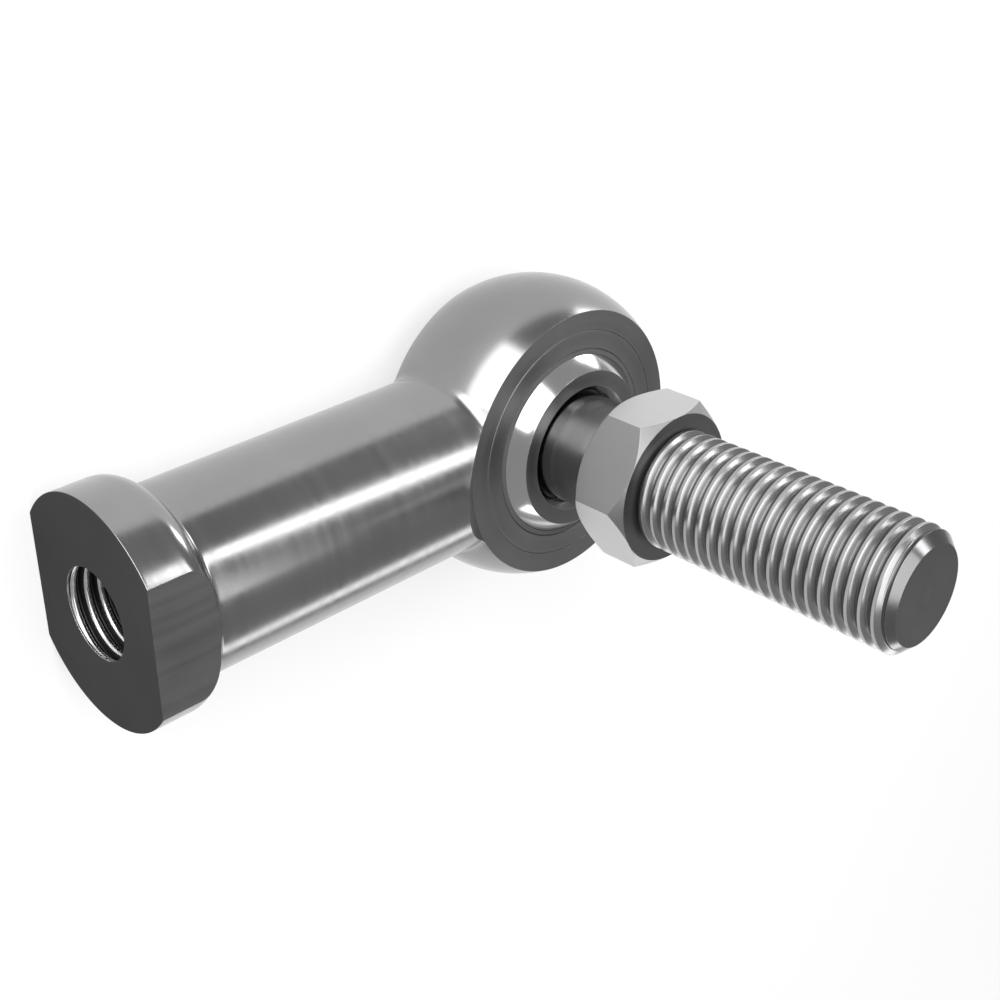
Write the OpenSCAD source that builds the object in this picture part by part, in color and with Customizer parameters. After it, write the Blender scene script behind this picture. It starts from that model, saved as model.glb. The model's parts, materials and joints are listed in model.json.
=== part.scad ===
// Female rod end with a ball stud, millimetres.
// +X runs from the threaded mouth along the shank to the eye, +Z is the stud's axis,
// and the origin is the centre of the threaded mouth.

/* [Rod body] */
// Distance from the threaded mouth to the ball's centre
centre_distance = 41.275; // [38:0.5:50]
// Diameter of the eye, across its crown
eye_d = 25.2; // [24.8:0.1:28]
// Width of the eye between its two flat faces
eye_w = 10.31; // [9:0.1:11]
// Diameter of the flat face on each side of the eye
eye_face_d = 22.24; // [21.4:0.1:23]
// Angle at which the facing cut climbs out of each flat face, through the shank
facing_angle = 41; // [25:1:60]
// Diameter of the shank
shank_d = 14.29; // [13:0.1:15]
// Diameter of the flange at the mouth
flange_d = 17.46; // [16.5:0.1:19]
// Length of the flange along the shank
flange_t = 5.1; // [4:0.1:8]
// Radius on the back edge of the flange
flange_round = 2; // [1:0.1:2.5]
// Radius of the fillet between the flange and the shank
flange_fillet = 0.4; // [0.2:0.1:0.8]
// Width across the two wrench flats
wrench_w = 14.29; // [13:0.1:15.5]
// Minor diameter of the internal thread
rod_thread_minor_d = 6.9; // [5:0.1:8.5]
// Depth of the threaded hole to the start of its drill point
rod_thread_depth = 23.8; // [15:0.1:25]
// Full angle of the drill point
drill_point_angle = 118; // [90:1:140]

/* [Bearing] */
// Outside diameter of the race
race_d = 21; // [20.6:0.1:21.4]
// Width of the race's chamfer, which the edge of the eye is staked over
race_stake = 1; // [0.4:0.1:1.2]
// Diameter of the ball
ball_d = 18.2; // [17.6:0.1:18.6]
// Width of the ball over its two flat faces
ball_w = 12.7; // [11.8:0.1:14]
// Thickness of the sliding liner
liner_t = 0.3; // [0.2:0.05:0.5]
// Gap between the ball and the liner, and between the liner and the race
sliding_gap = 0.02; // [0.01:0.01:0.05]
// Diameter of the ball's bore
bore_d = 9.525; // [9:0.025:10]
// Width of the chamfer at each mouth of the ball's bore
bore_chamfer = 0.5; // [0.3:0.1:0.8]

/* [Stud] */
// Diameter of the neck
neck_d = 8.92; // [8:0.02:9]
// Depth to which the neck reaches into the ball's bore, where the thicker tail begins
neck_relief = 1.5; // [0.8:0.1:3]
// Radial gap between the tail and the ball's bore
tail_gap = 0.02; // [0.01:0.01:0.05]
// Height of the hexagon's lower face above the ball's centre
hex_z = 11.1; // [9:0.1:14]
// Thickness of the hexagon
hex_t = 4.77; // [3.5:0.1:7]
// Width across the hexagon's flats
hex_w = 11.92; // [11:0.1:14]
// Angle of the chamfer on the hexagon's corners, measured from its face
hex_chamfer_angle = 41; // [20:1:45]
// Major diameter of the stud's thread
stud_thread_d = 9.525; // [8.5:0.025:10]
// Length of the stud's thread, from the hexagon to the end
stud_thread_l = 21.93; // [15:0.1:40]
// Chamfer at the end of the thread
stud_end_chamfer = 0.95; // [0.4:0.05:1.5]

/* [Hidden] */
$fn = 96;
over = 1;
steel = "silver";
eye_r = eye_d / 2;
eye_face_r = eye_face_d / 2;
eye_h = eye_w / 2;
shank_r = shank_d / 2;
flange_r = flange_d / 2;
rod_thread_r = rod_thread_minor_d / 2;
drill_point_l = rod_thread_r / tan(drill_point_angle / 2);
// The crown arc passes through the eye's widest point and the rim of each flat face
crown_centre = (eye_r * eye_r - eye_face_r * eye_face_r - eye_h * eye_h) / (2 * (eye_r - eye_face_r));
crown_r = eye_r - crown_centre;
race_r = race_d / 2;
ball_r = ball_d / 2;
ball_h = ball_w / 2;
liner_in_r = ball_r + sliding_gap;
liner_out_r = liner_in_r + liner_t;
race_in_r = liner_out_r + sliding_gap;
bore_r = bore_d / 2;
tail_r = bore_r - tail_gap;
hex_top = hex_z + hex_t;
stud_top = hex_top + stud_thread_l;
stud_thread_r = stud_thread_d / 2;
hex_corner_r = hex_w / 2 / cos(30);
hex_chamfer_drop = (hex_corner_r - hex_w / 2) * tan(hex_chamfer_angle);

// Puts a shape that is drawn round the Z axis on the stud's axis, at the ball's centre
module at_ball() {
    translate([centre_distance, 0, 0]) children();
}

// Turns a shape that is drawn along +Z to lie along +X from the mouth
module along_shank() {
    rotate([0, 90, 0]) children();
}

// Flange with its rounded back edge
module flange() {
    round_z = flange_t - flange_round;
    cylinder(r = flange_r, h = round_z);
    translate([0, 0, round_z]) cylinder(r = flange_r - flange_round, h = flange_round);
    translate([0, 0, round_z]) rotate_extrude() translate([flange_r - flange_round, 0]) circle(r = flange_round);
}

// Fillet ring that runs from the flange's rounded edge down to the shank
module flange_root() {
    root_r = shank_r + flange_fillet;
    inset = flange_round - (flange_r - root_r);
    start_z = flange_t - flange_round + sqrt(flange_round * flange_round - inset * inset);
    difference() {
        translate([0, 0, start_z - flange_fillet]) cylinder(r = root_r, h = 2 * flange_fillet);
        translate([0, 0, start_z + flange_fillet])
            rotate_extrude() translate([root_r, 0]) circle(r = flange_fillet);
    }
}

// Two wrench flats, cut on both sides of the flange and its fillet
module wrench_flats() {
    for (side = [0, 1]) mirror([0, 0, side])
        translate([-over, -flange_r, wrench_w / 2])
            cube([flange_t + flange_fillet + over, flange_d, flange_r]);
}

// Threaded hole at its minor diameter, with a drill point
module rod_thread_hole() {
    translate([0, 0, -over]) cylinder(r = rod_thread_r, h = rod_thread_depth + over);
    translate([0, 0, rod_thread_depth]) cylinder(r1 = rod_thread_r, r2 = 0, h = drill_point_l);
}

// Eye with an arched crown between its flat faces
module eye_blank() {
    rotate_extrude() intersection() {
        translate([crown_centre, 0]) circle(r = crown_r);
        translate([0, -eye_h]) square([eye_r + over, eye_w]);
    }
}

// Space for the race: its diameter in the middle, closed in at both faces by the staked edge
module race_shape() {
    stake_z = eye_h - race_stake;
    face_r = race_r - race_stake;
    rotate_extrude()
        polygon([[0, -eye_h], [face_r, -eye_h], [race_r, -stake_z], [race_r, stake_z], [face_r, eye_h], [0, eye_h]]);
}

// Facing cuts that bring the shank down to the eye's flat faces, with a conical run-out
module eye_facing() {
    run_out = shank_r / tan(facing_angle);
    for (side = [0, 1]) mirror([0, 0, side])
        translate([0, 0, eye_h]) cylinder(r1 = eye_face_r, r2 = eye_face_r + run_out, h = shank_r);
}

module rod_body() {
    color(steel) difference() {
        union() {
            difference() {
                along_shank() {
                    flange();
                    flange_root();
                }
                wrench_flats();
            }
            along_shank() cylinder(r = shank_r, h = centre_distance - race_r);
            at_ball() eye_blank();
        }
        at_ball() race_shape();
        at_ball() eye_facing();
        along_shank() rod_thread_hole();
    }
}

module outer_race() {
    color(steel) at_ball() difference() {
        race_shape();
        sphere(r = race_in_r);
    }
}

module sliding_liner() {
    color("dimgray") at_ball() difference() {
        intersection() {
            sphere(r = liner_out_r);
            translate([0, 0, -eye_h]) cylinder(r = race_r, h = eye_w);
        }
        sphere(r = liner_in_r);
    }
}

module ball() {
    color("gainsboro") at_ball() difference() {
        intersection() {
            sphere(r = ball_r);
            translate([0, 0, -ball_h]) cylinder(r = ball_r, h = ball_w);
        }
        translate([0, 0, -ball_h - over]) cylinder(r = bore_r, h = ball_w + 2 * over);
        for (side = [0, 1]) mirror([0, 0, side])
            translate([0, 0, ball_h - bore_chamfer])
                cylinder(r1 = bore_r, r2 = bore_r + bore_chamfer, h = bore_chamfer);
    }
}

// Hexagon whose corners are chamfered at both faces down to the width across its flats
module hexagon() {
    intersection() {
        translate([0, 0, hex_z]) cylinder(r = hex_corner_r, h = hex_t, $fn = 6);
        rotate_extrude() polygon([
            [0, hex_z],
            [hex_w / 2, hex_z],
            [hex_corner_r, hex_z + hex_chamfer_drop],
            [hex_corner_r, hex_top - hex_chamfer_drop],
            [hex_w / 2, hex_top],
            [0, hex_top]
        ]);
    }
}

// Stud in one piece: riveted tail, neck, hexagon and thread
module stud() {
    flare = bore_chamfer - tail_gap;
    color(steel) at_ball() {
        translate([0, 0, -ball_h]) cylinder(r1 = tail_r + flare, r2 = tail_r, h = flare);
        translate([0, 0, -ball_h]) cylinder(r = tail_r, h = ball_w - neck_relief);
        cylinder(d = neck_d, h = hex_z + hex_t / 2);
        hexagon();
        translate([0, 0, hex_top - hex_t / 2])
            cylinder(r = stud_thread_r, h = stud_thread_l + hex_t / 2 - stud_end_chamfer);
        translate([0, 0, stud_top - stud_end_chamfer])
            cylinder(r1 = stud_thread_r, r2 = stud_thread_r - stud_end_chamfer, h = stud_end_chamfer);
    }
}

rod_body();
outer_race();
sliding_liner();
ball();
stud();
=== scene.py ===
"""Looks of a female rod end with a ball stud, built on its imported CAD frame."""

import json
import math

import bmesh
import bpy
from bpy.props import FloatProperty, FloatVectorProperty, IntProperty, PointerProperty
from bpy.types import Operator, Panel, PropertyGroup
from mathutils import Matrix, Vector


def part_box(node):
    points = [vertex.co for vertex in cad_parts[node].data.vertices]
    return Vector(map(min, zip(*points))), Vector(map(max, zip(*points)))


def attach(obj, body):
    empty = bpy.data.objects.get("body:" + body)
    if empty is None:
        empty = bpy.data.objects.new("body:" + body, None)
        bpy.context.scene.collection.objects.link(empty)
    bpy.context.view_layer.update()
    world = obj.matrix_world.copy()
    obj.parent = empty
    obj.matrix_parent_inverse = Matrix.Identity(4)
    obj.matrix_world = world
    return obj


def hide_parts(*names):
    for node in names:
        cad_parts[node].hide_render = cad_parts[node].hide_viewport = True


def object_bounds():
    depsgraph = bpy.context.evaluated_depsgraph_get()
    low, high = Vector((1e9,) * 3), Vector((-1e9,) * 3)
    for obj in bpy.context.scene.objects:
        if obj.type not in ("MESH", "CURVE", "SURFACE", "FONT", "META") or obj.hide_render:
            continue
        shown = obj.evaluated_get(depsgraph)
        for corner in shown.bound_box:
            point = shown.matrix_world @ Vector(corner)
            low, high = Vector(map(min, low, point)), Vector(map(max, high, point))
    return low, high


bl_info = {
    "name": "Rod End with Ball Stud",
    "version": (1, 0, 0),
    "blender": (4, 5, 0),
    "location": "View3D > Sidebar > Rod End",
    "description": "Builds a female rod end with a ball stud, its steel finishes and its studio",
    "category": "Object",
}

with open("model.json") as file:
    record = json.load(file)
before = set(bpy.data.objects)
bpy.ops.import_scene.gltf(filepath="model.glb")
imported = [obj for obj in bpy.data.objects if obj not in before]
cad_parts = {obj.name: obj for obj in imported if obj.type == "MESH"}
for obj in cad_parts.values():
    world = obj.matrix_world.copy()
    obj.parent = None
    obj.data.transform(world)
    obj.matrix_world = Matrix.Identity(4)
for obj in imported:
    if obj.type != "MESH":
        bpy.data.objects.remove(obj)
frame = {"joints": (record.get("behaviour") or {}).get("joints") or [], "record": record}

# Sizes and places from the frame, in metres. All joints go through the ball's centre.
CAD_LOW, CAD_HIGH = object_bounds()
BALL_CENTRE = Vector(frame["joints"][0]["pos_m"])
MOUNTS = {mount["name"]: mount for mount in frame["record"]["mounts"]}
HOLE_MINOR_R = MOUNTS["rod_thread"]["dims"]["r_mm"] / 1000
HOLE_DEPTH = MOUNTS["rod_thread"]["dims"]["length_mm"] / 1000
STUD_MAJOR_R = MOUNTS["stud_thread"]["dims"]["r_mm"] / 1000
HEX_TOP = MOUNTS["stud_thread"]["pos_m"][2]

ORIGIN = (0, 0, 0)
X, Y, Z = Vector((1, 0, 0)), Vector((0, 1, 0)), Vector((0, 0, 1))
# Turns that lay a pattern's axis along Z or along X
UPRIGHT = (0, 0, 0)
ALONG_X = (0, math.pi / 2, 0)

# Points this near to each other are made one
MERGE = 1e-7
# The middle of a face this near to a surface lies on it
NEAR = 1e-6
# Z of a normal above which its face is level, and above which it can't be a facet of the round shank
LEVEL = 0.99
DEAD_LEVEL = 0.9999
# Two faces that meet at more than this angle have a sharp edge between them
SHARP = math.radians(28)
# Width of the strip beside a rounding that keeps the shading of the next wall even
HOLD = 0.0002
# Offsets that keep surfaces from lying in each other: within a body, and where bodies meet
SINK = 0.000004
CLEAR = 0.00001
# Length and factor by which a cutter passes what it cuts
OVER = 0.001
PAST = 1.2

# Steps round the drilled hole, round a thread, in each of its roundings and across the throat fillet
HOLE_STEPS = 144
THREAD_STEPS = 96
ROUND_STEPS = 3
FILLET_STEPS = 14

# Depth to which the shank reaches into the eye
SHANK_IN_EYE = 0.003
# Rings of points along the shank, as shares of its length, closer together towards the eye
SHANK_RINGS = (0.25, 0.5, 0.7, 0.8, 0.85, 0.9, 0.95, 1)
# Depths of the throat fillet's hidden edge in the shank and in the eye, as shares of the fillet's radius
FILLET_IN_SHANK = 2
FILLET_IN_EYE = 1.4

# Point round which the cutter's marks run on the wrench flats
MILL_CENTRE = Vector((0.0025, 0.03, 0))
# Point that all lamps face, their distance from it, and the watts per square metre for a radiance of 1
AIM = Vector((0.025, 0, 0.01))
LAMP_DISTANCE = 0.30
LAMP_WATTS = 4
# Azimuth and elevation in degrees, width and height in metres, and radiance of each lamp
LAMPS = {
    "broad_box": (122, 20, 0.29, 0.34, 3.3),
    "stripe_box": (42, 43, 0.16, 0.045, 4.2),
    "low_box": (-75, 14, 0.32, 0.055, 2.0),
    "corner_box": (33, 3, 0.10, 0.06, 5.5),
    "top_box": (105, 78, 0.30, 0.30, 1.7),
}


def length(name, description, default):
    """A size in metres, shown in the user's own unit."""
    return FloatProperty(name=name, description=description, default=default, min=0.0, max=0.1,
                         precision=5, subtype="DISTANCE", unit="LENGTH")


def angle(name, description, degrees):
    """An angle up to a half turn. Its default is given in degrees."""
    return FloatProperty(name=name, description=description, default=math.radians(degrees),
                         min=0.0, max=math.pi, subtype="ANGLE", unit="ROTATION")


def colour(name, description, default):
    return FloatVectorProperty(name=name, description=description, default=default, size=3,
                               min=0.0, max=1.0, subtype="COLOR")


def factor(name, description, default):
    return FloatProperty(name=name, description=description, default=default, min=0.0, max=1.0,
                         subtype="FACTOR")


def steps_round(description, default):
    return IntProperty(name="Steps", description=description, default=default, min=24, max=512)


class RodBodySizes(PropertyGroup):
    """Sizes of the rod body."""

    flange_r: length("Flange Radius", "Radius of the flange at the threaded mouth", 0.00873)
    flange_straight: length("Flange Straight", "Length of the flange before its rounded back edge", 0.0031)
    flange_round: length("Flange Round", "Radius on the back edge of the flange", 0.002)
    fillet: length("Flange Fillet", "Radius between the flange and the shank", 0.0004)
    rim: length("Flange Rim", "Broken edge round the flange's front face", 0.00005)
    shank_r: length("Shank Radius", "Radius of the shank", 0.007145)
    flat_z: length("Wrench Flat", "Distance of each wrench flat from the shank's axis", 0.007145)
    face_z: length("Eye Half Width", "Distance of each flat face of the eye from its middle", 0.005155)
    face_r: length("Eye Face Radius", "Radius of the eye's flat faces", 0.01112)
    crown_r: length("Eye Radius", "Radius of the eye across its crown", 0.0126)
    run_out: angle("Facing Run-Out", "Angle at which the facing cut climbs through the shank", 41)
    throat: length("Throat Fillet", "Radius between the shank and the eye's crown", 0.0015)
    pitch: length("Thread Pitch", "Pitch of the internal thread", 0.0254 / 24)
    thread_r: length("Thread Root Radius", "Radius at the roots of the internal thread", 0.00398)
    thread_round: length("Thread Root Round", "Rounding in the roots of the internal thread", 0.00012)
    thread_l: length("Thread Length", "Length of the internal thread", 0.0185)
    drill_point: angle("Drill Point", "Full angle of the drill point", 118)
    steps: steps_round("Steps round the body", 192)


class BearingSizes(PropertyGroup):
    """Sizes of the race, the liner and the ball."""

    race_r: length("Race Radius", "Outside radius of the race", 0.0105)
    stake: length("Stake", "Width of the race's chamfer under the staked edge of the eye", 0.001)
    joint_line: length("Joint Line", "Width of the fine line between race and eye", 0.00003)
    ball_r: length("Ball Radius", "Radius of the ball", 0.0091)
    ball_z: length("Ball Half Width", "Distance of each flat face of the ball from its middle", 0.00635)
    liner_t: length("Liner Thickness", "Thickness of the sliding liner", 0.0003)
    gap: length("Sliding Gap", "Gap on each side of the liner", 0.00002)
    bore_r: length("Bore Radius", "Radius of the ball's bore", 0.0047625)
    bore_chamfer: length("Bore Chamfer", "Chamfer at each mouth of the ball's bore", 0.0005)
    edge: length("Edge Round", "Radius on the turned edges", 0.00007)
    steps: steps_round("Steps round the rings", 192)


class StudSizes(PropertyGroup):
    """Sizes of the ball stud."""

    neck_r: length("Neck Radius", "Radius of the neck", 0.00446)
    neck_relief: length("Neck Relief", "Depth to which the neck reaches into the ball's bore", 0.0015)
    tail_gap: length("Tail Gap", "Gap between the tail and the ball's bore", 0.00002)
    root_fillet: length("Neck Fillet", "Radius between the neck and the hexagon", 0.00015)
    hex_low: length("Hexagon Height", "Height of the hexagon's lower face above the ball's centre", 0.0111)
    hex_w: length("Hexagon Width", "Width across the hexagon's flats", 0.01192)
    hex_angle: angle("Hexagon Chamfer", "Angle of the chamfer on the hexagon's corners", 41)
    crest_r: length("Thread Crest Radius", "Radius at the crests of the thread", 0.00473)
    crest_flat: length("Thread Crest Flat", "Width of the flat on the crests of the thread", 0.00022)
    crest_round: length("Thread Crest Round", "Rounding on the crests of the thread", 0.00005)
    root_r: length("Thread Root Radius", "Radius at the roots of the thread", 0.00424)
    pitch: length("Thread Pitch", "Pitch of the thread", 0.0254 / 24)
    end_chamfer: length("End Chamfer", "Chamfer at the end of the thread", 0.00095)
    steps: steps_round("Steps round the stud", 144)


class Finishes(PropertyGroup):
    """Colours and roughness of the finishes. Some colours hold painted shade and painted highlights, as noted
    at each.
    """

    turned: colour("Turned Steel", "Turned and polished flange and shank", (0.30, 0.30, 0.303))
    # Painted shade: a slightly darker copy of the turned steel, for the darker reflections on the eye's crown
    eye: colour("Eye Steel", "Turned outside of the eye", (0.28, 0.28, 0.283))
    # Faced and milled steel are darker than the turned steel: painted shade for the dark reflections of flat
    # faces; their satin finish and marks are real
    faced: colour("Faced Steel", "Faces of eye and ball, and the stud's end chamfer", (0.21, 0.21, 0.213))
    milled: colour("Milled Steel", "Wrench flats, and end faces of hexagon and stud", (0.17, 0.17, 0.172))
    # Painted shade: the flange's front face is far darker than the rest of the steel, for the dark reflection
    # in front of the flange
    mouth: colour("Mouth Face", "Front face of the flange", (0.08, 0.08, 0.081))
    # Painted shade and painted highlight: the internal thread's flanks and roots are near black and its
    # crests far lighter than the steel, for the shaded hole and its lit crests
    cut: colour("Cut Thread", "Flanks and roots of the internal thread", (0.05, 0.05, 0.051))
    crest: colour("Thread Crest", "Bright crests of the internal thread", (0.75, 0.75, 0.755))
    race: colour("Race Steel", "Faces of the race", (0.22, 0.22, 0.223))
    ball: colour("Ball Steel", "Hardened and polished ball", (0.62, 0.62, 0.625))
    neck: colour("Neck Steel", "Turned neck of the stud", (0.35, 0.35, 0.353))
    # Painted shade: darker than the neck and the thread, for the hexagon's dark middle flat; flats seen
    # aslant get a painted highlight
    hexagon: colour("Hexagon Steel", "Drawn hexagon of the stud", (0.28, 0.28, 0.283))
    thread: colour("Thread Steel", "Rolled thread of the stud", (0.37, 0.37, 0.374))
    # Painted shade: the recessed roots of the stud's thread are much darker than its flanks and crests
    root: colour("Thread Root", "Dull roots of the stud's thread", (0.10, 0.10, 0.101))
    liner: colour("Liner", "Sliding liner", (0.075, 0.075, 0.077))
    polish: factor("Polish", "Roughness of the turned surfaces", 0.2)
    satin: factor("Satin", "Roughness of the faced surfaces", 0.42)


class StageLook(PropertyGroup):
    """Floor and light of the studio."""

    floor: colour("Floor", "Colour of the floor", (0.95, 0.95, 0.95))
    surround: colour("Surroundings", "Grey of the room round the stage", (0.36, 0.36, 0.36))
    white: factor("White Level", "Share of plain white in the floor that camera and metal see", 0.6)
    level: FloatProperty(name="Light Level", description="Brightness of all lamps together",
                         default=1.0, min=0.0, max=4.0)


class RodEndSettings(PropertyGroup):
    """All settings of the rod end."""

    body: PointerProperty(name="Rod Body", description="Sizes of the rod body", type=RodBodySizes)
    bearing: PointerProperty(name="Bearing", description="Sizes of the bearing", type=BearingSizes)
    stud: PointerProperty(name="Stud", description="Sizes of the stud", type=StudSizes)
    finish: PointerProperty(name="Finishes", description="Colours and roughness", type=Finishes)
    stage: PointerProperty(name="Stage", description="Floor and light", type=StageLook)


# Wire profiles, lathed bodies and threads

class Wire:
    """Profile that is drawn from point to point in the XZ plane, for a body that is turned or a thread."""

    def __init__(self, x, z):
        self.bm = bmesh.new()
        self.end = self.bm.verts.new((x, 0, z))

    def line(self, *points):
        """Goes on straight from its end to each point in turn."""
        for x, z in points:
            self.end = bmesh.ops.extrude_vert_indiv(self.bm, verts=[self.end])["verts"][0]
            self.end.co = (x, 0, z)

    def arc(self, x, z, turn, steps):
        """Sweeps its end round a point. A positive turn runs from +Z towards +X."""
        made = bmesh.ops.spin(self.bm, geom=[self.end], cent=(x, 0, z), axis=Y, angle=turn, steps=steps)
        self.end = next(item for item in made["geom_last"] if isinstance(item, bmesh.types.BMVert))

    def lathe(self, name, centre, axis, steps):
        """Spins the whole profile once round an axis to a closed body."""
        bmesh.ops.spin(self.bm, geom=self.bm.verts[:] + self.bm.edges[:], cent=centre, axis=axis,
                       angle=math.tau, steps=steps, use_merge=True)
        weld(self.bm)
        return new_object(name, self.bm)


def weld(bm):
    bmesh.ops.remove_doubles(bm, verts=bm.verts, dist=MERGE)
    bmesh.ops.recalc_face_normals(bm, faces=bm.faces)


def wind(bm, pitch, turns):
    """Winds a profile that is one pitch long round the X axis and repeats that turn as a right-hand helix."""
    bmesh.ops.spin(bm, geom=bm.verts[:] + bm.edges[:], cent=ORIGIN, axis=X, dvec=X * (pitch / THREAD_STEPS),
                   angle=math.tau, steps=THREAD_STEPS)
    one_turn = bm.verts[:] + bm.edges[:] + bm.faces[:]
    for turn in range(1, turns):
        copy = bmesh.ops.duplicate(bm, geom=one_turn)["geom"]
        bmesh.ops.translate(bm, vec=X * (pitch * turn),
                            verts=[item for item in copy if isinstance(item, bmesh.types.BMVert)])
    bmesh.ops.remove_doubles(bm, verts=bm.verts, dist=MERGE)


def close_end(bm, point, outward):
    """Cuts the sheet off at a plane and closes it there."""
    cut = bmesh.ops.bisect_plane(bm, geom=bm.verts[:] + bm.edges[:] + bm.faces[:], dist=MERGE,
                                 plane_co=point, plane_no=outward, clear_outer=True)
    rim = [item for item in cut["geom_cut"] if isinstance(item, bmesh.types.BMEdge)]
    bmesh.ops.contextual_create(bm, geom=rim)


def threaded_bar(name, foot_r, tip_r, tip_flat, tip_round, pitch, bar_l):
    """Bar along +X from the origin with a 60 degree thread.

    The rounding at the foot of the thread follows from the one at its tip. Two turns more than the bar needs
    are wound, so that both ends can be cut off square.
    """
    flank = math.radians(60)
    out, up = math.sin(flank), math.cos(flank)
    lift = math.tan(flank) * (pitch - tip_flat) / 2 - (tip_r - foot_r)
    foot_round = lift / (out * math.tan(flank) + up - 1) - tip_round
    near, far = (-pitch - tip_flat) / 2, (tip_flat - pitch) / 2
    wire = Wire(-pitch, foot_r)
    wire.arc(-pitch, foot_r + foot_round, -flank, ROUND_STEPS)
    wire.line((near - tip_round * out, tip_r - tip_round * (1 - up)))
    wire.arc(near, tip_r - tip_round, flank, ROUND_STEPS)
    if tip_flat:
        wire.line((far, tip_r))
    wire.arc(far, tip_r - tip_round, flank, ROUND_STEPS)
    wire.line((-foot_round * out, foot_r + foot_round * (1 - up)))
    wire.arc(0, foot_r + foot_round, -flank, ROUND_STEPS)
    wind(wire.bm, pitch, math.ceil(bar_l / pitch) + 2)
    close_end(wire.bm, ORIGIN, -X)
    close_end(wire.bm, (bar_l, 0, 0), X)
    weld(wire.bm)
    return new_object(name, wire.bm)


def new_object(name, bm):
    mesh = bpy.data.meshes.new(name)
    bm.to_mesh(mesh)
    bm.free()
    made = bpy.data.objects.new(name, mesh)
    bpy.context.scene.collection.objects.link(made)
    return made


def combine(target, tool, operation):
    """Adds, cuts away or keeps only what tool covers, then removes tool."""
    step = target.modifiers.new(operation.title(), "BOOLEAN")
    step.operation, step.solver, step.object = operation, "MANIFOLD", tool
    graph = bpy.context.evaluated_depsgraph_get()
    result = bpy.data.meshes.new_from_object(target.evaluated_get(graph))
    target.modifiers.remove(step)
    before, target.data = target.data, result
    result.name = target.name
    bpy.data.meshes.remove(before)
    bpy.data.objects.remove(tool)
    if not result.polygons:
        raise RuntimeError(f"{target.name}: nothing is left after {operation}")


def closed(piece):
    """Merges doubles, points all faces outwards and stops the script if the piece has an open edge."""
    bm = bmesh.new()
    bm.from_mesh(piece.data)
    bmesh.ops.remove_doubles(bm, verts=bm.verts, dist=MERGE)
    bmesh.ops.dissolve_degenerate(bm, edges=bm.edges, dist=MERGE)
    open_edges = sum(1 for edge in bm.edges if len(edge.link_faces) != 2)
    bmesh.ops.recalc_face_normals(bm, faces=bm.faces)
    bm.to_mesh(piece.data)
    bm.free()
    if open_edges:
        raise RuntimeError(f"{piece.name}: {open_edges} edges aren't shared by two faces")


def paint(piece, materials, surface=None):
    """Gives every face the first material, or the one that surface names from its middle and normal."""
    mesh = piece.data
    mesh.materials.clear()
    order = list(materials)
    for name in order:
        mesh.materials.append(materials[name])
    if surface:
        for face in mesh.polygons:
            face.material_index = order.index(surface(face.center, face.normal))


def shade(piece, crisp=()):
    """Shades a piece smooth up to its sharp edges. The rims of the materials named in crisp are sharp too."""
    mesh = piece.data
    mesh.shade_smooth()
    mesh.set_sharp_from_angle(angle=SHARP)
    if not crisp:
        return
    bm = bmesh.new()
    bm.from_mesh(mesh)
    for index in [mesh.materials.find(name) for name in crisp]:
        for edge in bm.edges:
            if sum(face.material_index == index for face in edge.link_faces) == 1:
                edge.smooth = False
    bm.to_mesh(mesh)
    bm.free()


def place(piece, body, node):
    """Stands a finished piece in for its CAD node."""
    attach(piece, body)
    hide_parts(node)


# Shader nodes and node groups

def set_inputs(node, values):
    for name, value in values.items():
        node.inputs[name].default_value = value


def add(nodes, kind, values=None, **settings):
    """Adds a shader node with its settings and the values of its inputs, by name or number."""
    made = nodes.new("ShaderNode" + kind)
    for name, value in settings.items():
        setattr(made, name, value)
    set_inputs(made, values or {})
    return made


def join(links, *pairs):
    """Links the output to the input in each pair."""
    for source, target in pairs:
        links.new(source, target)


def new_group(name, inputs, outputs):
    """Empty node group with its own input and output node. A socket is a value, or a vector if given None."""
    group = bpy.data.node_groups.new(name, "ShaderNodeTree")
    for direction, sockets in (("INPUT", inputs), ("OUTPUT", outputs)):
        for label, default in sockets.items():
            kind = "NodeSocketVector" if default is None else "NodeSocketFloat"
            made = group.interface.new_socket(name=label, in_out=direction, socket_type=kind)
            if default is not None:
                made.default_value = default
    nodes = group.nodes
    return group, nodes, group.links, nodes.new("NodeGroupInput"), nodes.new("NodeGroupOutput")


def turning_marks():
    """Fine rings round the Z axis of the incoming vector, as a turning tool leaves them."""
    group, nodes, links, given, out = new_group(
        "Turning Marks", {"Vector": None, "Rings": 9000.0, "Wander": 0.6}, {"Height": 0.0, "Bands": 0.0})
    parts, flat = add(nodes, "SeparateXYZ"), add(nodes, "CombineXYZ")
    radius = add(nodes, "VectorMath", operation="LENGTH")
    along = add(nodes, "Math", operation="ADD")
    rings = add(nodes, "Math", operation="MULTIPLY")
    drift = add(nodes, "TexNoise", {"Scale": 160.0, "Detail": 1.0})
    push = add(nodes, "Math", operation="MULTIPLY")
    phase = add(nodes, "Math", operation="ADD")
    fine = add(nodes, "TexNoise", {"Scale": 1.0, "Detail": 2.0}, noise_dimensions="1D")
    broad = add(nodes, "TexNoise", {"Scale": 0.13, "Detail": 1.0}, noise_dimensions="1D")
    join(links,
         (given.outputs["Vector"], parts.inputs[0]), (parts.outputs["X"], flat.inputs["X"]),
         (parts.outputs["Y"], flat.inputs["Y"]), (flat.outputs[0], radius.inputs[0]),
         (parts.outputs["Z"], along.inputs[0]), (radius.outputs["Value"], along.inputs[1]),
         (along.outputs[0], rings.inputs[0]), (given.outputs["Rings"], rings.inputs[1]),
         (given.outputs["Vector"], drift.inputs["Vector"]), (drift.outputs["Fac"], push.inputs[0]),
         (given.outputs["Wander"], push.inputs[1]), (rings.outputs[0], phase.inputs[0]),
         (push.outputs[0], phase.inputs[1]), (phase.outputs[0], fine.inputs["W"]),
         (phase.outputs[0], broad.inputs["W"]), (fine.outputs["Fac"], out.inputs["Height"]),
         (broad.outputs["Fac"], out.inputs["Bands"]))
    return group


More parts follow.
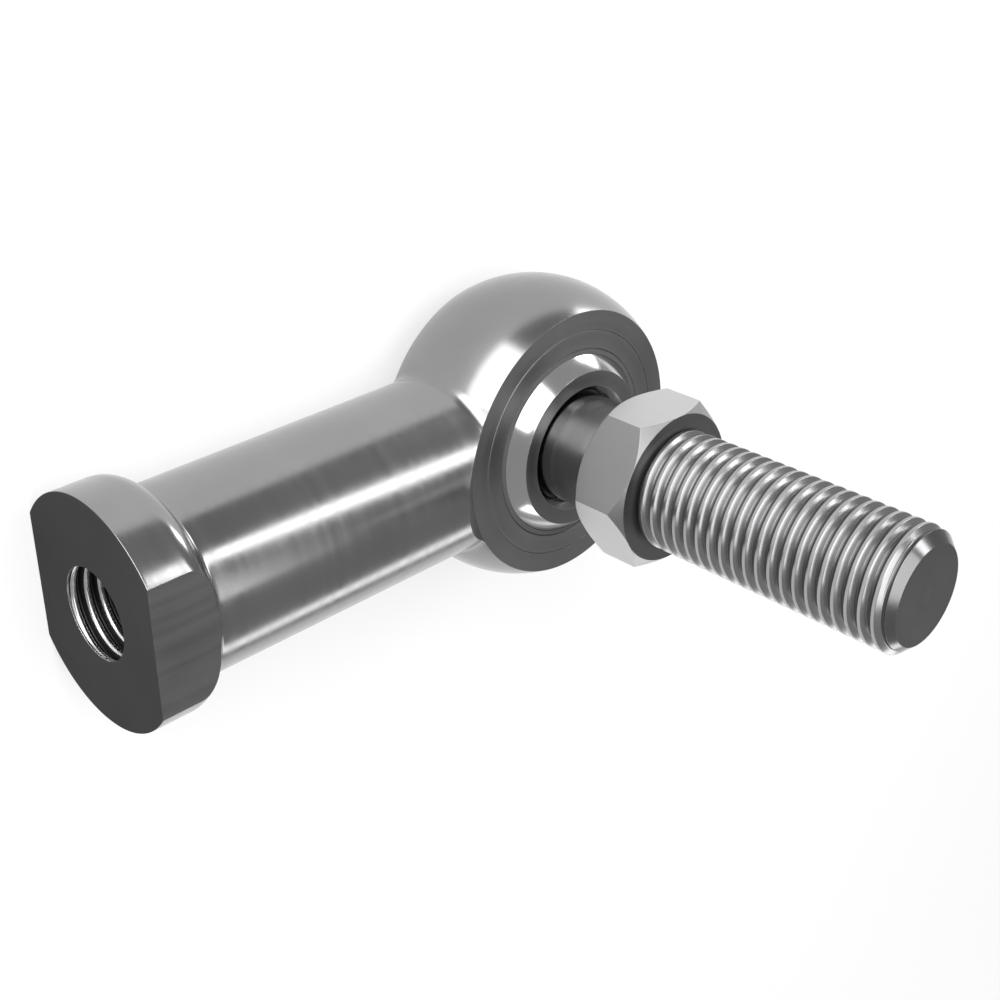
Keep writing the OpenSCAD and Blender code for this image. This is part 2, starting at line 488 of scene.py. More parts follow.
def drawn_lines():
    """Fine lines along the Z axis of the incoming vector, as cold drawing leaves them."""
    group, nodes, links, given, out = new_group(
        "Drawn Lines", {"Vector": None, "Rings": 9000.0, "Wander": 0.0}, {"Height": 0.0, "Bands": 0.0})
    stretch = add(nodes, "VectorMath", {1: (1, 1, 0.02)}, operation="MULTIPLY")
    fine = add(nodes, "TexNoise", {"Detail": 2.0})
    broad = add(nodes, "TexNoise", {"Detail": 1.0, "Scale": 700.0})
    join(links,
         (given.outputs["Vector"], stretch.inputs[0]), (stretch.outputs[0], fine.inputs["Vector"]),
         (stretch.outputs[0], broad.inputs["Vector"]), (given.outputs["Rings"], fine.inputs["Scale"]),
         (given.outputs["Wander"], fine.inputs["Distortion"]), (fine.outputs["Fac"], out.inputs["Height"]),
         (broad.outputs["Fac"], out.inputs["Bands"]))
    return group


def metal_grain():
    """Fine speckle and slow cloudiness of bare steel."""
    group, nodes, links, given, out = new_group(
        "Metal Grain", {"Vector": None, "Speckle Scale": 9000.0, "Cloud Scale": 140.0},
        {"Speckle": 0.0, "Cloud": 0.0})
    speckle, cloud = add(nodes, "TexNoise", {"Detail": 2.0}), add(nodes, "TexNoise", {"Detail": 3.0})
    join(links,
         (given.outputs["Vector"], speckle.inputs["Vector"]),
         (given.outputs["Speckle Scale"], speckle.inputs["Scale"]),
         (given.outputs["Vector"], cloud.inputs["Vector"]),
         (given.outputs["Cloud Scale"], cloud.inputs["Scale"]),
         (speckle.outputs["Fac"], out.inputs["Speckle"]), (cloud.outputs["Fac"], out.inputs["Cloud"]))
    return group


def edge_wear():
    """A normal that is rounded at edges, and a mask of the rubbed edges themselves."""
    group, nodes, links, given, out = new_group(
        "Edge Wear", {"Radius": 0.0001}, {"Normal": None, "Worn": 0.0})
    rounded = add(nodes, "Bevel", samples=4)
    surface = add(nodes, "NewGeometry")
    agree = add(nodes, "VectorMath", operation="DOT_PRODUCT")
    worn = add(nodes, "MapRange", {"From Min": 0.995, "From Max": 0.9})
    join(links,
         (given.outputs["Radius"], rounded.inputs["Radius"]), (rounded.outputs[0], agree.inputs[0]),
         (surface.outputs["Normal"], agree.inputs[1]), (agree.outputs["Value"], worn.inputs["Value"]),
         (rounded.outputs[0], out.inputs["Normal"]), (worn.outputs["Result"], out.inputs["Worn"]))
    return group


EFFECTS = {
    "Turning Marks": turning_marks,
    "Drawn Lines": drawn_lines,
    "Metal Grain": metal_grain,
    "Edge Wear": edge_wear,
}


def effect(nodes, name, values=None):
    """Places a shared node group in a material with the material's own values. The first use builds it."""
    return add(nodes, "Group", values, node_tree=bpy.data.node_groups.get(name) or EFFECTS[name]())


# Finishes

def new_material(name, values):
    """New material with the values of its Principled BSDF."""
    material = bpy.data.materials.new(name)
    material.use_nodes = True
    nodes = material.node_tree.nodes
    shader = nodes["Principled BSDF"]
    set_inputs(shader, values)
    return material, nodes, material.node_tree.links, shader


def pattern_space(nodes, links, centre, turn=UPRIGHT):
    """Object coordinates, moved and turned so that a pattern's axis is their Z axis."""
    where = add(nodes, "TexCoord")
    mapping = add(nodes, "Mapping", {"Location": centre, "Rotation": turn}, vector_type="TEXTURE")
    links.new(where.outputs["Object"], mapping.inputs["Vector"])
    return mapping.outputs[0]


def tint(base, times=1.0, plus=0.0):
    """A colour made darker or lighter, up to white."""
    return (*[min(1.0, channel * times + plus) for channel in base], 1)


def steel(name, base, roughness, centre=BALL_CENTRE, turn=UPRIGHT, rings=9000.0, marks=0.5, grain=0.25,
          wear=0.05, edge=0.00007, wander=0.6, drawn=False, edge_on=1.0, painted_sheen=0.0):
    """A steel whose turning marks run round an axis, or whose drawn lines run along it.

    Centre and turn bring that axis to Z. Edge-on tints what is seen at a grazing angle, and a painted
    highlight lightens the colour of faces that are seen aslant.
    """
    material, nodes, links, shader = new_material(
        name, {"Metallic": 1.0, "Specular Tint": (edge_on, edge_on, edge_on, 1)})
    where = pattern_space(nodes, links, centre, turn)
    marked = effect(nodes, "Drawn Lines" if drawn else "Turning Marks", {"Rings": rings, "Wander": wander})
    grained = effect(nodes, "Metal Grain")
    worn = effect(nodes, "Edge Wear", {"Radius": edge})
    join(links, (where, marked.inputs["Vector"]), (where, grained.inputs["Vector"]))

    tone = add(nodes, "MapRange", {"From Min": 0.25, "From Max": 0.75})
    cloudy = add(nodes, "Mix", {"A": tint(base, times=0.93), "B": tint(base, times=1.05)}, data_type="RGBA")
    rubbed = add(nodes, "Mix", {"B": tint(base, plus=wear)}, data_type="RGBA")
    join(links,
         (grained.outputs["Cloud"], tone.inputs["Value"]), (tone.outputs["Result"], cloudy.inputs["Factor"]),
         (worn.outputs["Worn"], rubbed.inputs["Factor"]), (cloudy.outputs["Result"], rubbed.inputs["A"]))
    coloured = rubbed.outputs["Result"]
    # Painted highlight: faces seen aslant get a lighter base colour, chosen by the viewing angle
    if painted_sheen:
        facing = add(nodes, "LayerWeight")
        aslant = add(nodes, "MapRange", {"From Min": 0.25, "From Max": 0.6})
        bright = add(nodes, "Mix", {"B": tint(base, plus=painted_sheen)}, data_type="RGBA")
        join(links,
             (facing.outputs["Facing"], aslant.inputs["Value"]),
             (aslant.outputs["Result"], bright.inputs["Factor"]), (coloured, bright.inputs["A"]))
        coloured = bright.outputs["Result"]
    links.new(coloured, shader.inputs["Base Color"])

    both = add(nodes, "Math", operation="ADD")
    half = add(nodes, "Math", {1: 0.5}, operation="MULTIPLY")
    rough = add(nodes, "MapRange", {"From Min": 0.3, "From Max": 0.7,
                                    "To Min": roughness * 0.85, "To Max": roughness * 1.2})
    join(links,
         (marked.outputs["Bands"], both.inputs[0]), (grained.outputs["Cloud"], both.inputs[1]),
         (both.outputs[0], half.inputs[0]), (half.outputs[0], rough.inputs["Value"]),
         (rough.outputs["Result"], shader.inputs["Roughness"]))

    lines = add(nodes, "Bump", {"Strength": marks, "Distance": 0.000002})
    dots = add(nodes, "Bump", {"Strength": grain, "Distance": 0.000001})
    join(links,
         (marked.outputs["Height"], lines.inputs["Height"]), (worn.outputs["Normal"], lines.inputs["Normal"]),
         (grained.outputs["Speckle"], dots.inputs["Height"]), (lines.outputs[0], dots.inputs["Normal"]),
         (dots.outputs[0], shader.inputs["Normal"]))
    return material


def sliding_cloth(base):
    """Dark woven sliding cloth, bonded with resin."""
    material, nodes, links, shader = new_material("Sliding Liner", {})
    where = pattern_space(nodes, links, BALL_CENTRE)
    grained = effect(nodes, "Metal Grain", {"Speckle Scale": 6000.0})
    weave = add(nodes, "TexVoronoi", {"Scale": 5000.0})
    fibre = add(nodes, "Mix", {"A": tint(base, times=0.6), "B": tint(base, times=1.5)}, data_type="RGBA")
    rough = add(nodes, "MapRange", {"To Min": 0.45, "To Max": 0.7})
    bump = add(nodes, "Bump", {"Strength": 0.3, "Distance": 0.000004})
    join(links,
         (where, grained.inputs["Vector"]), (where, weave.inputs["Vector"]),
         (grained.outputs["Speckle"], fibre.inputs["Factor"]),
         (fibre.outputs["Result"], shader.inputs["Base Color"]),
         (grained.outputs["Cloud"], rough.inputs["Value"]),
         (rough.outputs["Result"], shader.inputs["Roughness"]),
         (weave.outputs["Distance"], bump.inputs["Height"]), (bump.outputs[0], shader.inputs["Normal"]))
    return material


# Rod body

def shank_blank(sizes):
    """Flange, fillet and shank, turned round the X axis."""
    front_r, root_r = sizes.flange_r - sizes.rim, sizes.shank_r + sizes.fillet
    inset = sizes.flange_round - (sizes.flange_r - root_r)
    lean = math.acos(inset / sizes.flange_round)
    fillet_x = sizes.flange_straight + sizes.flange_round * math.sin(lean) + sizes.fillet
    end_x = BALL_CENTRE.x - sizes.crown_r + SHANK_IN_EYE
    wire = Wire(0, 0)
    wire.line((0, front_r - HOLD), (0, front_r))
    wire.arc(sizes.rim, front_r, math.pi / 2, steps=4)
    wire.line((sizes.rim + HOLD, sizes.flange_r), (sizes.flange_straight, sizes.flange_r))
    wire.arc(sizes.flange_straight, sizes.flange_r - sizes.flange_round, lean, steps=16)
    wire.line((fillet_x - sizes.fillet, root_r))
    wire.arc(fillet_x, root_r, -math.pi / 2, steps=10)
    wire.line((fillet_x + HOLD, sizes.shank_r))
    wire.line(*[(fillet_x + (end_x - fillet_x) * share, sizes.shank_r) for share in SHANK_RINGS])
    wire.line((end_x, 0))
    return wire.lathe("rod_body_turned", ORIGIN, X, sizes.steps)


def crown_arc(sizes):
    """Distance of the crown arc's centre from the ball's axis, and the arc's radius."""
    top, rim, rise = sizes.crown_r, sizes.face_r, sizes.face_z
    centre = (top ** 2 - rim ** 2 - rise ** 2) / (2 * (top - rim))
    return centre, top - centre


def eye_blank(sizes):
    """Eye with its arched crown, turned round the ball's axis and left as wide as the shank for facing."""
    crown_x, arc_r = crown_arc(sizes)
    lean = math.asin((sizes.shank_r + sizes.throat) / arc_r)
    x, high = BALL_CENTRE.x, arc_r * math.sin(lean)
    wire = Wire(x, -high)
    wire.line((x + crown_x + arc_r * math.cos(lean), -high))
    wire.arc(x + crown_x, 0, -2 * lean, steps=64)
    wire.line((x, high))
    return wire.lathe("eye_turned", BALL_CENTRE, Z, sizes.steps)


def throat_fillet(sizes):
    """Ring that a ball would roll along between the shank and the eye's crown, closed inside them."""
    crown_x, arc_r = crown_arc(sizes)
    throat = sizes.throat
    bm = bmesh.new()
    loops = []
    for step in range(FILLET_STEPS + 2):
        ring = bmesh.ops.create_circle(bm, segments=sizes.steps, radius=1)["verts"]
        loops.append([edge for edge in bm.edges if all(vert in ring for vert in edge.verts)])
        for vert in ring:
            out = Vector((0, vert.co.x, vert.co.y))
            rolled = out * (sizes.shank_r + throat - SINK)
            from_axis = crown_x + math.sqrt((arc_r + throat - SINK) ** 2 - rolled.z ** 2)
            rolled.x = BALL_CENTRE.x - math.sqrt(from_axis ** 2 - rolled.y ** 2)
            spine = BALL_CENTRE + Vector((rolled.x - BALL_CENTRE.x, rolled.y, 0)) * (crown_x / from_axis)
            to_crown = (spine - rolled).normalized()
            if step > FILLET_STEPS:
                vert.co = rolled - out * (throat * FILLET_IN_SHANK) + to_crown * throat * FILLET_IN_EYE
            else:
                vert.co = rolled + (-out).slerp(to_crown, step / FILLET_STEPS) * throat
    for near, far in zip(loops, loops[1:] + loops[:1]):
        bmesh.ops.bridge_loops(bm, edges=near + far)
    weld(bm)
    return new_object("throat_fillet", bm)


def facing_tool(sizes, side):
    """Cutter that faces one side of the eye and runs out of the shank in a cone."""
    x, rise = BALL_CENTRE.x, 0.006
    low, high, rim = side * sizes.face_z, side * (sizes.face_z + rise), x + (sizes.face_r + CLEAR)
    wire = Wire(x, low)
    wire.line((rim, low), (rim + rise / math.tan(sizes.run_out), high), (x, high))
    return wire.lathe("facing_tool", BALL_CENTRE, Z, sizes.steps)


def flat_tool(sizes, side):
    """Cutter for one wrench flat on the flange."""
    bm = bmesh.new()
    deep = 0.004
    reach = sizes.flange_straight + sizes.flange_round + sizes.fillet
    middle = Vector(((reach - OVER) / 2, 0, side * (sizes.flat_z + deep / 2)))
    size = Matrix.Diagonal((reach + OVER, sizes.flange_r * 2 * PAST, deep, 1))
    bmesh.ops.create_cube(bm, size=1, matrix=Matrix.Translation(middle) @ size)
    return new_object("flat_tool", bm)


def seat_tool(sizes, bearing):
    """Space of the race, with a fine line left open at both faces."""
    x, face = BALL_CENTRE.x, sizes.face_z
    wall, mouth = x + bearing.race_r, x + (bearing.race_r - bearing.stake + bearing.joint_line)
    high, drop = face * PAST, face - bearing.joint_line
    wire = Wire(x, -high)
    wire.line((mouth, -high), (mouth, -drop), (wall, bearing.stake - face), (wall, face - bearing.stake),
              (mouth, drop), (mouth, high), (x, high))
    return wire.lathe("seat_tool", BALL_CENTRE, Z, sizes.steps)


def drill_tool(sizes):
    """Tap drill at the thread's minor diameter."""
    wire = Wire(-OVER, 0)
    wire.line((-OVER, HOLE_MINOR_R), (HOLE_DEPTH, HOLE_MINOR_R),
              (HOLE_DEPTH + HOLE_MINOR_R / math.tan(sizes.drill_point / 2), 0))
    return wire.lathe("drill_tool", ORIGIN, X, HOLE_STEPS)


def tap_tool(sizes):
    """Tap whose thread cuts the internal one, tapered at the mouth."""
    tap = threaded_bar("tap_tool", HOLE_MINOR_R - SINK, sizes.thread_r, 0, sizes.thread_round, sizes.pitch,
                       sizes.thread_l)
    nose_r, wide_r = HOLE_MINOR_R - 0.00003, sizes.thread_r + 0.0001
    lead_x, end_x = 0.00012, sizes.thread_l + OVER
    taper_l = (sizes.thread_r - nose_r) * 0.9
    wire = Wire(lead_x / 2, 0)
    wire.line((lead_x / 2, nose_r), (lead_x, nose_r), (lead_x + taper_l, wide_r), (end_x, wide_r), (end_x, 0))
    combine(tap, wire.lathe("tap_envelope", ORIGIN, X, THREAD_STEPS), "INTERSECT")
    return tap


def body_finishes(finish):
    """Finishes of the rod body, by the names that body_surface gives."""
    return {
        "turned": steel("Turned Shank", finish.turned, finish.polish, ORIGIN, ALONG_X, edge=0.00003),
        "eye": steel("Turned Eye", finish.eye, finish.polish),
        "faced": steel("Faced Eye", finish.faced, finish.satin, marks=0.8, edge=0.00004),
        "flat": steel("Milled Flat", finish.milled, finish.satin, MILL_CENTRE, marks=0.4, wander=0.2),
        # The mouth face carries painted shade, with a lowered edge-on tint
        "mouth": steel("Mouth Face", finish.mouth, finish.satin, ORIGIN, ALONG_X, marks=0.9, edge_on=0.4),
        # The cut thread carries painted shade, with a lowered edge-on tint, and the crests a painted
        # highlight
        "thread": steel("Cut Thread", finish.cut, finish.satin, ORIGIN, ALONG_X, wear=0, edge_on=0.4),
        "crest": steel("Thread Crest", finish.crest, finish.polish, ORIGIN, ALONG_X, marks=0.3, wear=0),
    }


def body_surface(sizes, middle, normal):
    """Names the surface of the rod body that a face lies on, by limits a little off each surface."""
    front_x, flange_x, hole_x, eye_x, full_eye_x = 0.00002, 0.006, 0.03, 0.02, 0.0312
    crest_r, hole_r = HOLE_MINOR_R + 0.00012, sizes.thread_r + 0.0001
    below_shank, above_shank = sizes.shank_r * 0.998, sizes.shank_r * 1.002
    radius = math.hypot(middle.y, middle.z)
    # Faces on the front plane take the mouth face's painted shade
    if middle.x < front_x:
        return "mouth"
    if radius < hole_r and middle.x < hole_x:
        # Faces near the drilled radius take the crests' painted highlight, the rest of the hole the painted
        # shade
        return "crest" if radius < crest_r and middle.x < sizes.thread_l else "thread"
    if abs(abs(middle.z) - sizes.face_z) < NEAR and abs(normal.z) > LEVEL:
        return "faced"
    if abs(abs(middle.z) - sizes.flat_z) < NEAR and abs(normal.z) > DEAD_LEVEL and middle.x < flange_x:
        return "flat"
    if middle.x > eye_x and (radius > above_shank or middle.x > full_eye_x):
        return "eye"
    if middle.x > eye_x and radius < below_shank:
        return "faced"
    return "turned"


class ROD_END_OT_rod_body(Operator):
    """Build the rod body: flange, shank, eye and threaded hole"""

    bl_idname = "rod_end.rod_body"
    bl_label = "Rod Body"

    def execute(self, context):
        settings = context.scene.rod_end
        sizes = settings.body
        body = shank_blank(sizes)
        body.name = "rod_body_looks"
        combine(body, eye_blank(sizes), "UNION")
        combine(body, throat_fillet(sizes), "UNION")
        for side in (1, -1):
            combine(body, facing_tool(sizes, side), "DIFFERENCE")
            combine(body, flat_tool(sizes, side), "DIFFERENCE")
        combine(body, seat_tool(sizes, settings.bearing), "DIFFERENCE")
        combine(body, drill_tool(sizes), "DIFFERENCE")
        combine(body, tap_tool(sizes), "DIFFERENCE")
        closed(body)
        paint(body, body_finishes(settings.finish),
              lambda middle, normal: body_surface(sizes, middle, normal))
        shade(body)
        place(body, "body", "rod_body")
        return {"FINISHED"}


# Race, liner and ball

class ROD_END_OT_outer_race(Operator):
    """Build the race that is staked in the eye"""

    bl_idname = "rod_end.outer_race"
    bl_label = "Outer Race"

    def execute(self, context):
        settings = context.scene.rod_end
        bearing, finish, face = settings.bearing, settings.finish, settings.body.face_z
        inner = bearing.ball_r + bearing.liner_t + 2 * bearing.gap
        x, edge = BALL_CENTRE.x, bearing.edge
        lean = math.asin((face - edge) / inner)
        low = inner * math.cos(lean)
        rim, wall = x + (bearing.race_r - bearing.stake) - bearing.joint_line, x + (bearing.race_r - CLEAR)
        high = face - bearing.stake - bearing.joint_line + CLEAR
        wire = Wire(x + low, edge - face)
        wire.arc(x, 0, -2 * lean, steps=48)
        wire.line((x + low + edge, face), (rim, face), (wall, high), (wall, -high), (rim, -face),
                  (x + low + edge, -face), (x + low, edge - face))
        race = wire.lathe("outer_race_looks", BALL_CENTRE, Z, bearing.steps)
        closed(race)
        paint(race, {"race": steel("Race Steel", finish.race, finish.satin, marks=0.8, wear=0, edge=0.00002)})
        shade(race)
        place(race, "body", "outer_race")
        return {"FINISHED"}


class ROD_END_OT_sliding_liner(Operator):
    """Build the thin sliding liner between race and ball"""

    bl_idname = "rod_end.sliding_liner"
    bl_label = "Sliding Liner"

    def execute(self, context):
        settings = context.scene.rod_end
        bearing, rim = settings.bearing, settings.body.face_z - CLEAR
        inner = bearing.ball_r + bearing.gap
        outer = inner + bearing.liner_t
        lean_in, lean_out = math.asin(rim / inner), math.asin(rim / outer)
        x = BALL_CENTRE.x
        wire = Wire(x + inner * math.cos(lean_in), -rim)
        wire.arc(x, 0, -2 * lean_in, steps=40)
        wire.line((x + outer * math.cos(lean_out), rim))
        wire.arc(x, 0, 2 * lean_out, steps=40)
        wire.line((x + inner * math.cos(lean_in), -rim))
        liner = wire.lathe("sliding_liner_looks", BALL_CENTRE, Z, bearing.steps)
        closed(liner)
        paint(liner, {"liner": sliding_cloth(settings.finish.liner)})
        shade(liner)
        place(liner, "liner", "sliding_liner")
        return {"FINISHED"}


class ROD_END_OT_ball(Operator):
    """Build the ball with its bore and flat faces"""

    bl_idname = "rod_end.ball"
    bl_label = "Ball"

    def execute(self, context):
        settings = context.scene.rod_end
        bearing, finish = settings.bearing, settings.finish
        x, edge, high = BALL_CENTRE.x, bearing.edge, bearing.ball_z
        bore, mouth = x + bearing.bore_r, x + (bearing.bore_r + bearing.bore_chamfer)
        lean = math.asin((high - edge) / bearing.ball_r)
        low = bearing.ball_r * math.cos(lean)
        bore_z = high - bearing.bore_chamfer
        wire = Wire(x + low, edge - high)
        wire.arc(x, 0, -2 * lean, steps=72)
        wire.line((x + low - edge, high), (mouth, high), (bore, bore_z), (bore, -bore_z), (mouth, -high),
                  (x + low - edge, -high), (x + low, edge - high))
        ball = wire.lathe("ball_looks", BALL_CENTRE, Z, bearing.steps)
        closed(ball)
        finishes = {
            "ball": steel("Ball Steel", finish.ball, finish.polish * 0.7, marks=0.15, grain=0.12),
            "face": steel("Ball Face", finish.faced, finish.satin, marks=0.8),
        }
        paint(ball, finishes, lambda middle, normal: "face" if abs(normal.z) > LEVEL else "ball")
        shade(ball)
        place(ball, "ball", "ball")
        return {"FINISHED"}


# Stud

def stud_blank(bearing, sizes):
    """Riveted tail and plain neck, up to the middle of the hexagon."""
    x, low = BALL_CENTRE.x, -bearing.ball_z
    tail, flare = x + (bearing.bore_r - sizes.tail_gap), bearing.bore_chamfer - sizes.tail_gap
    shoulder = bearing.ball_z - sizes.neck_relief
    neck, fillet_z = x + sizes.neck_r, sizes.hex_low - sizes.root_fillet
    hex_middle = (sizes.hex_low + HEX_TOP) / 2
    wire = Wire(x, low)
    wire.line((tail + flare, low), (tail, low + flare), (tail, shoulder), (neck, shoulder),
              (neck, fillet_z - HOLD), (neck, fillet_z))
    wire.arc(neck + sizes.root_fillet, fillet_z, math.pi / 2, steps=6)
    wire.line((neck + sizes.root_fillet, hex_middle), (x, hex_middle))
    return wire.lathe("stud_turned", BALL_CENTRE, Z, sizes.steps)


def hexagon(sizes):
    """Hexagon with a corner towards +X, chamfered at both faces."""
    flat = sizes.hex_w / 2
    half_side = math.radians(30)
    corner = flat / math.cos(half_side)
    bm = bmesh.new()
    middle = BALL_CENTRE + Z * (sizes.hex_low + HEX_TOP) / 2
    bmesh.ops.create_cone(bm, cap_ends=True, segments=6, radius1=corner, radius2=corner,
                          depth=HEX_TOP - sizes.hex_low, matrix=Matrix.Translation(middle))
    bmesh.ops.rotate(bm, verts=bm.verts, cent=BALL_CENTRE, matrix=Matrix.Rotation(half_side, 3, "Z"))
    weld(bm)
    nut = new_object("hexagon", bm)

    x, over = BALL_CENTRE.x, 0.0005
    drop = (corner - flat) * math.tan(sizes.hex_angle)
    slope = over * math.tan(sizes.hex_angle)
    wire = Wire(x, sizes.hex_low)
    wire.line((x + flat, sizes.hex_low), (x + corner + over, sizes.hex_low + drop + slope),
              (x + corner + over, HEX_TOP - drop - slope), (x + flat, HEX_TOP), (x, HEX_TOP))
    combine(nut, wire.lathe("hexagon_envelope", BALL_CENTRE, Z, sizes.steps), "INTERSECT")
    return nut


def threaded_end(sizes, stud_top):
    """Rolled thread with a chamfered end, standing in the hexagon."""
    x, foot, spare = BALL_CENTRE.x, HEX_TOP - OVER, 0.0005
    thread = threaded_bar("thread", sizes.root_r, sizes.crest_r, sizes.crest_flat, sizes.crest_round,
                          sizes.pitch, stud_top - foot + spare)
    thread.data.transform(Matrix.Translation((x, 0, foot)) @ Matrix.Rotation(math.radians(-90), 4, "Y"))
    tip, wide = STUD_MAJOR_R - sizes.end_chamfer, sizes.crest_r + 0.0004
    wire = Wire(x, foot - OVER)
    wire.line((x + wide, foot - OVER), (x + wide, stud_top - (wide - tip)),
              (x + tip, stud_top), (x, stud_top))
    combine(thread, wire.lathe("thread_envelope", BALL_CENTRE, Z, sizes.steps), "INTERSECT")
    return thread


def stud_finishes(finish):
    """Finishes of the stud, by the names that stud_surface gives."""
    return {
        "turned": steel("Turned Neck", finish.neck, finish.polish),
        # The hexagon's colour holds painted shade, and a painted highlight on its flats seen aslant; its
        # drawn lines are real
        "hexagon": steel("Drawn Hexagon", finish.hexagon, finish.satin, rings=7000, marks=0.2, wander=0,
                         drawn=True, painted_sheen=0.3),
        "face": steel("Stud Face", finish.milled, finish.satin, marks=0.8),
        "chamfer": steel("End Chamfer", finish.faced, finish.polish, marks=0.8),
        "thread": steel("Rolled Thread", finish.thread, finish.polish * 1.2, rings=14000, marks=0.3,
                        edge=0.00004),
        # Painted shade in the thread's roots, with a lowered edge-on tint
        "root": steel("Thread Root", finish.root, finish.satin, wear=0, edge_on=0.4),
    }


def stud_surface(sizes, stud_top, middle, normal):
    """Names the surface of the stud that a face lies on. Radius plus height stays one sum on the chamfer."""
    chamfer_sum, near_chamfer = stud_top + STUD_MAJOR_R - sizes.end_chamfer, 0.00001
    thread_root_r, outside_neck = sizes.root_r + 0.00003, sizes.neck_r + 0.0003
    radius = math.hypot(middle.x - BALL_CENTRE.x, middle.y)
    if abs(normal.z) > LEVEL:
        return "face"
    if normal.z > 0 and abs(radius + middle.z - chamfer_sum) < near_chamfer:
        return "chamfer"
    if middle.z > HEX_TOP + NEAR:
        # Faces near the root radius take the painted shade of the roots
        return "root" if radius < thread_root_r else "thread"
    if radius > outside_neck and middle.z > sizes.hex_low:
        return "hexagon"
    return "turned"


class ROD_END_OT_stud(Operator):
    """Build the stud: riveted tail, neck, hexagon and rolled thread"""

    bl_idname = "rod_end.stud"
    bl_label = "Ball Stud"

    def execute(self, context):
        settings = context.scene.rod_end
        sizes = settings.stud
        stud_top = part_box("stud")[1].z
        stud = stud_blank(settings.bearing, sizes)
        stud.name = "stud_looks"
        combine(stud, hexagon(sizes), "UNION")
        combine(stud, threaded_end(sizes, stud_top), "UNION")
        closed(stud)
        paint(stud, stud_finishes(settings.finish),
              lambda middle, normal: stud_surface(sizes, stud_top, middle, normal))
        shade(stud, crisp=("Stud Face", "End Chamfer"))
        place(stud, "stud", "stud")
        return {"FINISHED"}


# Stage

def softbox(name, azimuth, elevation, width, height, radiance):
    """Area lamp that faces the object. Azimuth runs from +X towards +Y, in degrees."""
    turn, rise = math.radians(azimuth), math.radians(elevation)
    away = Vector((math.cos(turn) * math.cos(rise), math.sin(turn) * math.cos(rise), math.sin(rise)))
    lamp = bpy.data.lights.new(name, "AREA")
    lamp.shape, lamp.size, lamp.size_y = "RECTANGLE", width, height
    lamp.energy = LAMP_WATTS * width * height * radiance
    made = bpy.data.objects.new(name, lamp)
    made.location = AIM + away * LAMP_DISTANCE
    made.rotation_mode = "QUATERNION"
    made.rotation_quaternion = away.to_track_quat("Z", "Y")
    made.visible_camera = False
    bpy.context.scene.collection.objects.link(made)


def studio_floor(look):
    """Pale floor that the camera and the metal see near white, with the object's shadow kept."""
    material, nodes, links, shader = new_material(
        "Studio Floor", {"Base Color": (*look.floor, 1), "Roughness": 0.9, "Specular IOR Level": 0.0})
    rays = add(nodes, "LightPath")
    direct, seen = add(nodes, "Math", operation="MAXIMUM"), add(nodes, "Math", operation="MAXIMUM")
    share = add(nodes, "Math", {1: look.white}, operation="MULTIPLY")
    white = add(nodes, "Emission")
    mix = add(nodes, "MixShader")
    join(links,
         (rays.outputs["Is Camera Ray"], direct.inputs[0]), (rays.outputs["Is Glossy Ray"], direct.inputs[1]),
         (direct.outputs[0], seen.inputs[0]), (rays.outputs["Is Transmission Ray"], seen.inputs[1]),
         (seen.outputs[0], share.inputs[0]), (share.outputs[0], mix.inputs[0]),
         (shader.outputs[0], mix.inputs[1]), (white.outputs[0], mix.inputs[2]),
         (mix.outputs[0], nodes["Material Output"].inputs["Surface"]))
    return material


def photo_camera():
    """Camera that was fitted to the object's edges in the photo."""
    lens = bpy.data.cameras.new("photo_camera")
    lens.sensor_width, lens.lens = 36.0, 56.272
    lens.shift_x, lens.shift_y = 0.0302, -0.0239
    lens.clip_start, lens.clip_end = 0.01, 20
    right = Vector((0.71998, -0.00986, 0.69392))
    up = Vector((0.32888, 0.88534, -0.32865))
    back = Vector((-0.61112, 0.46484, 0.64067))
    camera = bpy.data.objects.new("photo_camera", lens)
    camera.rotation_mode = "QUATERNION"
    camera.rotation_quaternion = Matrix((right, up, back)).transposed().to_quaternion()
    camera.location = (-0.042782, 0.056507, 0.081302)
    bpy.context.scene.collection.objects.link(camera)
    return camera


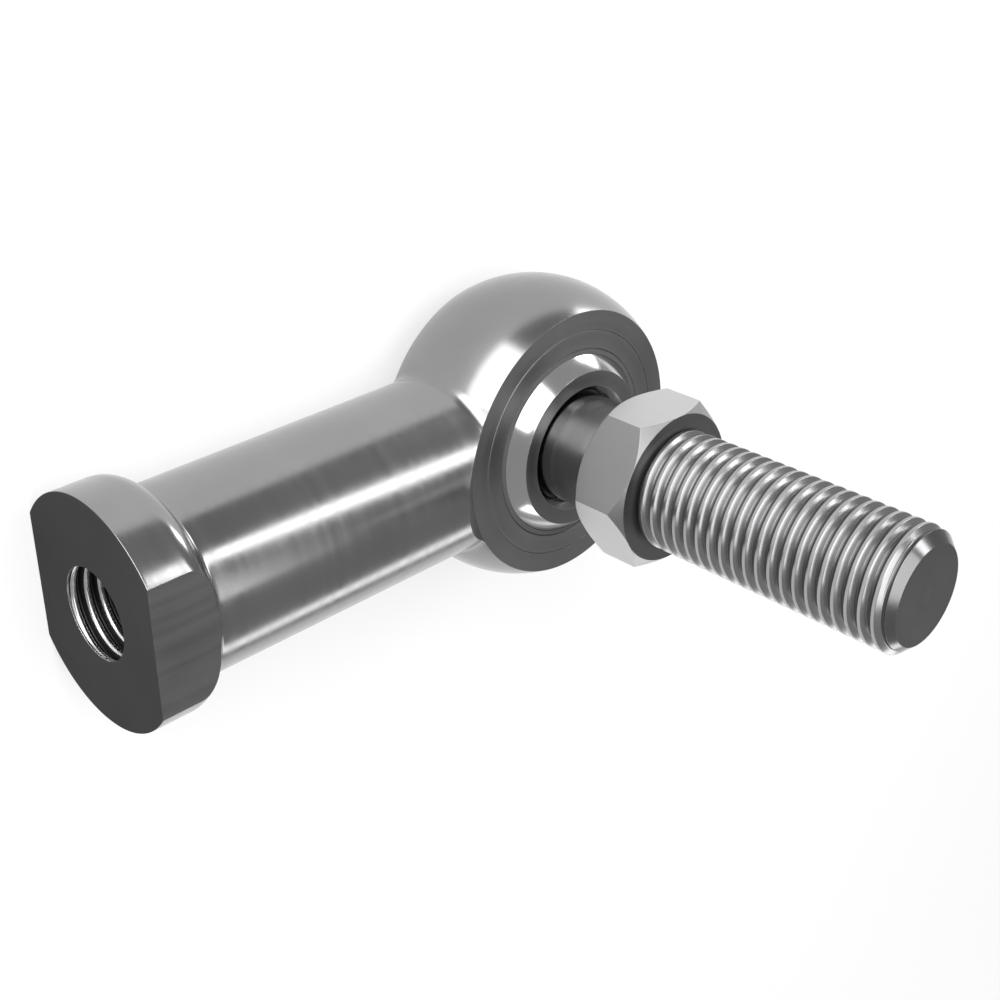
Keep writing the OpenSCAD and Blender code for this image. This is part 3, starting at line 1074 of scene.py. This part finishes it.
class ROD_END_OT_stage(Operator):
    """Build the floor, the lamps and the camera"""

    bl_idname = "rod_end.stage"
    bl_label = "Stage"

    def execute(self, context):
        look, scene = context.scene.rod_end.stage, context.scene
        bm = bmesh.new()
        ground = Matrix.Translation((AIM.x, 0, CAD_LOW.z))
        bmesh.ops.create_grid(bm, x_segments=2, y_segments=2, size=3, matrix=ground)
        floor = new_object("floor", bm)
        floor.data.materials.append(studio_floor(look))

        world = bpy.data.worlds.new("Studio")
        world.use_nodes = True
        world.node_tree.nodes["Background"].inputs["Color"].default_value = (*look.surround, 1)
        scene.world = world
        for name, (azimuth, elevation, width, height, radiance) in LAMPS.items():
            softbox(name, azimuth, elevation, width, height, radiance * look.level)
        scene.camera = photo_camera()
        scene.view_settings.view_transform = "Standard"
        return {"FINISHED"}


class ROD_END_PT_panel(Panel):
    """Lists the rod end's settings and build steps"""

    bl_idname = "ROD_END_PT_panel"
    bl_label = "Rod End"
    bl_space_type = "VIEW_3D"
    bl_region_type = "UI"
    bl_category = "Rod End"

    def draw(self, context):
        settings = context.scene.rod_end
        for group, operators in (
            (settings.body, (ROD_END_OT_rod_body,)),
            (settings.bearing, (ROD_END_OT_outer_race, ROD_END_OT_sliding_liner, ROD_END_OT_ball)),
            (settings.stud, (ROD_END_OT_stud,)),
            (settings.finish, ()),
            (settings.stage, (ROD_END_OT_stage,)),
        ):
            box = self.layout.box()
            box.label(text=type(group).__name__)
            for name in type(group).__annotations__:
                box.prop(group, name)
            for operator in operators:
                box.operator(operator.bl_idname)


CLASSES = (
    RodBodySizes, BearingSizes, StudSizes, Finishes, StageLook, RodEndSettings,
    ROD_END_OT_rod_body, ROD_END_OT_outer_race, ROD_END_OT_sliding_liner, ROD_END_OT_ball,
    ROD_END_OT_stud, ROD_END_OT_stage, ROD_END_PT_panel,
)


def register():
    for item in CLASSES:
        bpy.utils.register_class(item)
    bpy.types.Scene.rod_end = PointerProperty(name="Rod End", description="Settings of the rod end",
                                              type=RodEndSettings)


def unregister():
    del bpy.types.Scene.rod_end
    for item in reversed(CLASSES):
        bpy.utils.unregister_class(item)


def main():
    register()
    bpy.ops.rod_end.rod_body()
    bpy.ops.rod_end.outer_race()
    bpy.ops.rod_end.sliding_liner()
    bpy.ops.rod_end.ball()
    bpy.ops.rod_end.stud()
    bpy.ops.rod_end.stage()


if __name__ == "__main__":
    main()
